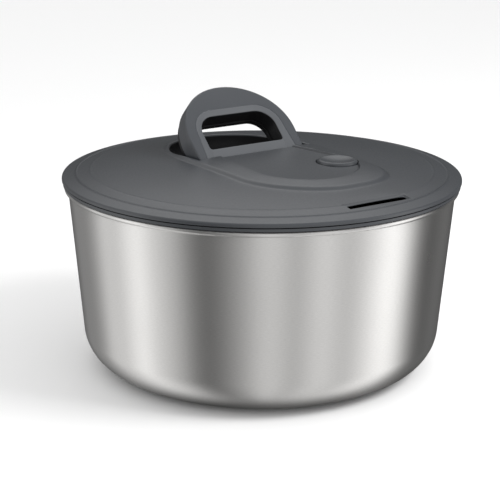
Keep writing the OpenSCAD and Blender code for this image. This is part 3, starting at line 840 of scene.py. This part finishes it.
def moulded_plastic(name, color, roughness=0.42, grain=900, spread=0.06, bump=0.12, gloss=0.5):
    """Satin moulded plastic: fine grain, faint flow marks and slightly uneven gloss."""
    material, tree, shader = new_material(name, color, roughness)
    where = object_coords(tree)
    flow = noise(tree, where, 14, 5)
    fine = noise(tree, where, grain, 3)
    darker = tuple(c * (1 - spread) for c in color)
    lighter = tuple(c * (1 + spread) for c in color)
    mottled = mix_color(tree, middle_span(tree, flow, 0, 1), darker, lighter)
    tree.links.new(mottled, shader.inputs["Base Color"])
    tree.links.new(middle_span(tree, fine, roughness - 0.04, roughness + 0.05), shader.inputs["Roughness"])
    add_bump(tree, shader, fine, bump)
    shader.inputs["Specular IOR Level"].default_value = gloss
    return material


def brush_lines(tree, where):
    """Noise drawn out round the Z axis: the fine scratches of the brushing."""
    split = tree.nodes.new("ShaderNodeSeparateXYZ")
    tree.links.new(where, split.inputs["Vector"])
    angle = math_node(tree, "ARCTAN2", split.outputs["Y"], split.outputs["X"])
    join = tree.nodes.new("ShaderNodeCombineXYZ")
    tree.links.new(math_node(tree, "MULTIPLY", angle, BRUSH_STRETCH), join.inputs["X"])
    tree.links.new(split.outputs["Z"], join.inputs["Z"])
    return noise(tree, join.outputs["Vector"], BRUSH_SCALE, 6, 0.7)


def brushed_steel():
    """Steel brushed round the bowl: fine horizontal scratches and an anisotropic sheen."""
    material, tree, shader = new_material("steel_brushed", STEEL, 0.3, 1.0)
    where = object_coords(tree)
    lines = brush_lines(tree, where)
    broad = noise(tree, where, 9, 3)
    streaks = mix_color(tree, middle_span(tree, lines, 0, 1), STEEL_DARK, STEEL_LIGHT)
    tree.links.new(streaks, shader.inputs["Base Color"])
    tree.links.new(middle_span(tree, broad, 0.27, 0.34), shader.inputs["Roughness"])
    add_bump(tree, shader, lines, 0.06)
    shader.inputs["Anisotropic"].default_value = 0.9
    shader.inputs["Anisotropic Rotation"].default_value = 0.25
    tangent = tree.nodes.new("ShaderNodeTangent")
    tangent.direction_type = "RADIAL"
    tangent.axis = "Z"
    tree.links.new(tangent.outputs["Tangent"], shader.inputs["Tangent"])
    return material


def plain_metal(name, color, roughness):
    """Bright metal with a fine uneven sheen."""
    material, tree, shader = new_material(name, color, roughness, 1.0)
    where = object_coords(tree)
    fine = noise(tree, where, 700, 4)
    tree.links.new(middle_span(tree, fine, roughness - 0.05, roughness + 0.08), shader.inputs["Roughness"])
    add_bump(tree, shader, fine, 0.05)
    return material


# The lid, lever and frame are one plastic; the lever's grey is lifted a little above the lid's and the frame's
# grey well above that: painted light for how they catch the light.
LID_GREY = (0.040, 0.0435, 0.049)
LEVER_GREY_PAINTED_LIGHT = (0.046, 0.050, 0.057)
FRAME_GREY_PAINTED_LIGHT = (0.084, 0.089, 0.097)
MATERIALS = {
    "steel": brushed_steel(),
    "lid_grey": moulded_plastic("lid_plastic", LID_GREY, 0.32),
    "lever_grey": moulded_plastic("lever_plastic_painted_light", LEVER_GREY_PAINTED_LIGHT, 0.38),
    "frame_grey": moulded_plastic("lever_frame_painted_light", FRAME_GREY_PAINTED_LIGHT, 0.34, 700),
    # Black plastic, also put on the lever's recess and finger hole walls as painted shade.
    "black_plastic": moulded_plastic("dark_plastic_and_painted_shade", (0.012, 0.012, 0.013), 0.4, gloss=0.15),
    "rubber": moulded_plastic("soft_rubber", (0.026, 0.026, 0.028), 0.7, 500, 0.12, 0.2),
    "basket_plastic": moulded_plastic("frosted_plastic", (0.66, 0.69, 0.70), 0.38, 700, 0.03, 0.08),
    "gear_plastic": moulded_plastic("acetal", (0.72, 0.69, 0.60), 0.36, 600, 0.04, 0.08),
    "bush_brass": plain_metal("brass_turned", (0.72, 0.52, 0.22), 0.3),
    "metal": plain_metal("bright_steel", (0.68, 0.68, 0.69), 0.22),
}


def paint(obj, slot_name):
    obj.data.materials.clear()
    obj.data.materials.append(MATERIALS[slot_name])


# ---- Floor, light and camera -----------------------------------------------------------------

FLOOR_HALF, FLOOR_COLOR = 6.0, (0.96, 0.96, 0.96)
SHADE_FROM, SHADE_TO, SHADE_LIGHT = 106.0, 124.0, 0.05
SHADE_INNER, SHADE_Z = 60, 0.3


def build_floor():
    mesh = bpy.data.meshes.new("floor")
    s = FLOOR_HALF
    mesh.from_pydata([(-s, -s, 0), (s, -s, 0), (s, s, 0), (-s, s, 0)], [], [(0, 1, 2, 3)])
    floor = bpy.data.objects.new("floor", mesh)
    bpy.context.scene.collection.objects.link(floor)
    material, _, _ = new_material("floor_pale", FLOOR_COLOR, 0.6)
    mesh.materials.append(material)
    floor.visible_glossy = False


def build_floor_shade():
    """The shaded floor under the bowl's corner; only the steel's reflection sees it."""
    verts, faces = revolve([(SHADE_INNER, SHADE_Z), (SHADE_TO + 5, SHADE_Z)], 96, closed=False)
    mesh = bpy.data.meshes.new("floor_shade")
    mesh.from_pydata([tuple(v) for v in verts * MM], [], faces)
    shade = bpy.data.objects.new("floor_shade", mesh)
    bpy.context.scene.collection.objects.link(shade)
    material, tree, shader = new_material("floor_shade_dark", (0, 0, 0), 1.0)
    distance = tree.nodes.new("ShaderNodeVectorMath")
    distance.operation = "LENGTH"
    tree.links.new(object_coords(tree), distance.inputs[0])
    dark = span(tree, distance.outputs["Value"], SHADE_FROM * MM, SHADE_TO * MM, 1, 0)
    tree.links.new(dark, shader.inputs["Alpha"])
    shader.inputs["Emission Color"].default_value = (SHADE_LIGHT, SHADE_LIGHT, SHADE_LIGHT, 1)
    shader.inputs["Emission Strength"].default_value = 1.0
    shader.inputs["Specular IOR Level"].default_value = 0
    mesh.materials.append(material)
    shade.visible_camera = shade.visible_diffuse = shade.visible_shadow = False


def aim(obj, place, target):
    direction = Vector(target) - Vector(place)
    obj.matrix_world = Matrix.Translation(place) @ direction.to_track_quat("-Z", "Y").to_matrix().to_4x4()


CAMERA_AZIMUTH = 54.5
CAMERA_HEIGHT = 0.3564
CAMERA_BACK = 0.9475
CAMERA_SIDE = -0.0076
CAMERA_TARGET_Z = 0.0755
CAMERA_LENS = 104.98
CAMERA_ROLL = 0.277


def around(side, back, height):
    """A point seen from the camera's azimuth: side to its right, back towards it."""
    a = math.radians(CAMERA_AZIMUTH)
    return Vector((side * math.cos(a) + back * math.sin(a), side * math.sin(a) - back * math.cos(a), height))


def build_camera():
    data = bpy.data.cameras.new("camera")
    data.lens = CAMERA_LENS
    data.sensor_width = 36
    camera = bpy.data.objects.new("camera", data)
    bpy.context.scene.collection.objects.link(camera)
    place = around(CAMERA_SIDE, CAMERA_BACK, CAMERA_HEIGHT)
    aim(camera, place, around(CAMERA_SIDE, 0, CAMERA_TARGET_Z))
    camera.matrix_world = camera.matrix_world @ Matrix.Rotation(math.radians(CAMERA_ROLL), 4, "Z")
    bpy.context.scene.camera = camera


def soft_box(name, place, target, width, height, power):
    data = bpy.data.lights.new(name, "AREA")
    data.shape = "RECTANGLE"
    data.size, data.size_y = width, height
    data.energy = power
    light = bpy.data.objects.new(name, data)
    light.visible_glossy = False
    bpy.context.scene.collection.objects.link(light)
    aim(light, place, target)


# The set round the object: azimuth from the camera (degrees, to its right) and light there.
SET_STOPS = (
    (-180, 0.03), (-160, 0.10), (-146, 0.32), (-129, 0.30), (-117, 0.55), (-107, 1.20), (-97, 0.80),
    (-87, 1.38), (-79, 1.72), (-70, 1.0), (-58, 0.74), (-50, 0.50), (-43, 0.20), (-36, 0.12),
    (-28, 0.20), (-12, 0.54), (0, 0.88), (8, 0.94), (22, 0.62), (38, 1.10), (46, 0.92), (54, 0.70),
    (64, 0.92), (74, 1.36), (83, 1.86), (92, 1.68), (100, 0.86), (109, 0.26), (119, 0.12),
    (140, 0.20), (160, 0.10), (180, 0.03),
)
# Where the set's walls end and the even sky begins, as the height of a unit direction.
PANEL_TOP, SKY_FROM = 0.50, 0.80
SKY_LIGHT, TOP_BOX_LIGHT = 0.80, 1.5
TOP_BOX_AZIMUTH, TOP_BOX_ELEVATION = -176.0, 50.0
TOP_BOX_CORE, TOP_BOX_EDGE = 0.97, 0.86
FILL_LIGHT, BACKDROP = 0.98, 1.0
KEY_POWER = 9


def top_box_direction():
    """Unit vector to the softbox above and behind the object."""
    turn, lift = math.radians(TOP_BOX_AZIMUTH), math.radians(TOP_BOX_ELEVATION)
    flat = around(math.sin(turn), math.cos(turn), 0)
    return Vector((flat.x * math.cos(lift), flat.y * math.cos(lift), math.sin(lift)))


def grey_ramp(tree, value, stops):
    """Grey light from a value of 0 to 1, through stops of (place, light)."""
    node = tree.nodes.new("ShaderNodeValToRGB")
    items = node.color_ramp.elements
    for place, light in stops[1:-1]:
        items.new(place)
    for item, (place, light) in zip(items, stops):
        item.position = place
        item.color = (light, light, light, 1)
    tree.links.new(value, node.inputs["Fac"])
    return node.outputs["Color"]


def blend_light(tree, factor, light, grey):
    """A light output mixed towards an even grey light."""
    node = tree.nodes.new("ShaderNodeMix")
    node.data_type = "RGBA"
    node.inputs["B"].default_value = (grey, grey, grey, 1)
    tree.links.new(factor, node.inputs["Factor"])
    tree.links.new(light, node.inputs["A"])
    return node.outputs["Result"]


def set_light(tree, direction):
    """What shiny surfaces see: the walls of the set, the sky above them and the top softbox."""
    split = tree.nodes.new("ShaderNodeSeparateXYZ")
    tree.links.new(direction, split.inputs["Vector"])
    angle = math_node(tree, "ARCTAN2", split.outputs["X"], split.outputs["Y"])
    turn = math_node(tree, "SUBTRACT", angle, math.radians(-CAMERA_AZIMUTH))
    share = math_node(tree, "FRACT", math_node(tree, "MULTIPLY", turn, -0.5 / math.pi))
    walls = grey_ramp(tree, share, [((azimuth + 180) / 360, light) for azimuth, light in SET_STOPS])
    box = tree.nodes.new("ShaderNodeVectorMath")
    box.operation = "DOT_PRODUCT"
    box.inputs[1].default_value = top_box_direction()
    tree.links.new(direction, box.inputs[0])
    in_box = span(tree, box.outputs["Value"], TOP_BOX_EDGE, TOP_BOX_CORE, 0, 1)
    in_sky = span(tree, split.outputs["Z"], PANEL_TOP, SKY_FROM, 0, 1)
    return blend_light(tree, in_box, blend_light(tree, in_sky, walls, SKY_LIGHT), TOP_BOX_LIGHT)


def build_world():
    """Plain light for the floor and the lid, and a set of softboxes and flags for what shines."""
    world = bpy.data.worlds.new("studio")
    bpy.context.scene.world = world
    world.use_nodes = True
    tree = world.node_tree
    shiny = set_light(tree, tree.nodes.new("ShaderNodeTexCoord").outputs["Generated"])
    path = tree.nodes.new("ShaderNodeLightPath")
    fill = mix_color(tree, path.outputs["Is Camera Ray"], (FILL_LIGHT,) * 3, (BACKDROP,) * 3)
    light = tree.nodes.new("ShaderNodeMix")
    light.data_type = "RGBA"
    tree.links.new(path.outputs["Is Glossy Ray"], light.inputs["Factor"])
    tree.links.new(fill, light.inputs["A"])
    tree.links.new(shiny, light.inputs["B"])
    tree.links.new(light.outputs["Result"], tree.nodes["Background"].inputs["Color"])


def build_lights():
    build_world()
    bpy.context.scene.view_settings.view_transform = "Standard"
    middle = (0, 0, 0.1)
    soft_box("light_key", around(0.85, 0.3, 0.9), middle, 0.5, 0.5, KEY_POWER)


# ---- Putting it together ---------------------------------------------------------------------

def main():
    paint(build_lid(), "lid_grey")
    paint(build_recess_floor(), "black_plastic")
    build_lever_cover()
    paint(build_lever_underside(), "black_plastic")
    paint(build_bowl(), "steel")
    paint(build_button(), "lid_grey")
    paint(build_brake_spring(), "metal")
    for name, node in frame["nodes"].items():
        paint(node, SLOTS[name])
    build_floor()
    build_floor_shade()
    build_camera()
    build_lights()


main()
